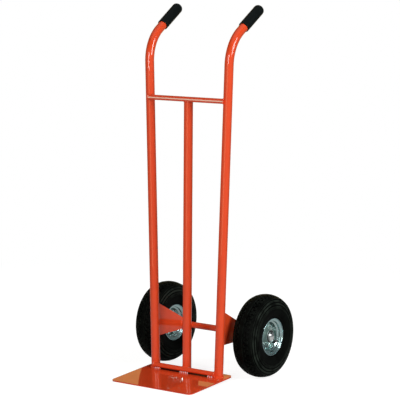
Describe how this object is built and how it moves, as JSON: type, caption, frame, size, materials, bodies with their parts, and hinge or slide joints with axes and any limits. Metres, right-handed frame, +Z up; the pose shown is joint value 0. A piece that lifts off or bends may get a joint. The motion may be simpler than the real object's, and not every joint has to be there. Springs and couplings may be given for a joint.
{
  "type": "hand truck",
  "caption": "Tubular steel sack truck with a flat toe plate, splayed bent-back handles with grips, and pneumatic wheels on split pressed rims, for moving stacked crates.",
  "frame": {"origin": "on the floor, midway between the side rails and in the plane of their straight legs", "axes": "+X along the axle, -Y towards the load and the toe plate's front edge, +Z up"},
  "size_m": [0.46, 0.4663, 1.1517],
  "materials": {
    "orange_enamel": "glossy stoved enamel",
    "black_pvc": "satin soft PVC",
    "zinc_plated_steel": "bright zinc plate",
    "zinc_plated_rim": "pressed steel, zinc plated",
    "bright_cap": "polished",
    "tyre_rubber": "moulded tyre rubber",
    "butyl_rubber": "smooth",
    "black_nylon": "moulded",
    "white_nylon": "moulded",
    "bearing_steel": "ground",
    "valve_rubber": "moulded"
  },
  "bodies": {
    "frame": {"toe_plate": "orange_enamel", "left_rail": "orange_enamel", "right_rail": "orange_enamel", "centre_post": "orange_enamel", "upper_crossbar": "orange_enamel", "lower_crossbar": "orange_enamel", "left_axle_bracket": "orange_enamel", "right_axle_bracket": "orange_enamel", "axle": "orange_enamel", "left_grip": "black_pvc", "right_grip": "black_pvc", "left_spacer": "zinc_plated_steel", "left_inner_washer": "zinc_plated_steel", "left_outer_washer": "zinc_plated_steel", "left_axle_cap": "bright_cap", "right_spacer": "zinc_plated_steel", "right_inner_washer": "zinc_plated_steel", "right_outer_washer": "zinc_plated_steel", "right_axle_cap": "bright_cap"},
    "left_wheel": {"left_tyre": "tyre_rubber", "left_inner_tube": "butyl_rubber", "left_outer_rim": "zinc_plated_rim", "left_inner_rim": "zinc_plated_rim", "left_rim_bolts": "zinc_plated_steel", "left_rim_nuts": "zinc_plated_steel", "left_hub": "zinc_plated_steel", "left_outer_dust_ring": "black_nylon", "left_inner_dust_ring": "black_nylon", "left_valve_stem": "valve_rubber", "left_valve_cap": "black_nylon"},
    "left_bearing": {"left_roller_cage": "white_nylon", "left_rollers": "bearing_steel"},
    "right_wheel": {"right_tyre": "tyre_rubber", "right_inner_tube": "butyl_rubber", "right_outer_rim": "zinc_plated_rim", "right_inner_rim": "zinc_plated_rim", "right_rim_bolts": "zinc_plated_steel", "right_rim_nuts": "zinc_plated_steel", "right_hub": "zinc_plated_steel", "right_outer_dust_ring": "black_nylon", "right_inner_dust_ring": "black_nylon", "right_valve_stem": "valve_rubber", "right_valve_cap": "black_nylon"},
    "right_bearing": {"right_roller_cage": "white_nylon", "right_rollers": "bearing_steel"}
  },
  "joints": [
    {"name": "left_wheel_spin", "type": "hinge", "parent": "frame", "child": "left_wheel", "pos_m": [-0.188, 0.146, 0.13], "axis": [1, 0, 0], "continuous": true},
    {"name": "left_bearing_spin", "type": "hinge", "parent": "frame", "child": "left_bearing", "pos_m": [-0.188, 0.146, 0.13], "axis": [1, 0, 0], "continuous": true},
    {"name": "right_wheel_spin", "type": "hinge", "parent": "frame", "child": "right_wheel", "pos_m": [0.188, 0.146, 0.13], "axis": [1, 0, 0], "continuous": true},
    {"name": "right_bearing_spin", "type": "hinge", "parent": "frame", "child": "right_bearing", "pos_m": [0.188, 0.146, 0.13], "axis": [1, 0, 0], "continuous": true}
  ],
  "couplings": [
    {"joint": "left_bearing_spin", "follows": "left_wheel_spin", "ratio": 0.64286},
    {"joint": "right_bearing_spin", "follows": "right_wheel_spin", "ratio": 0.64286}
  ]
}
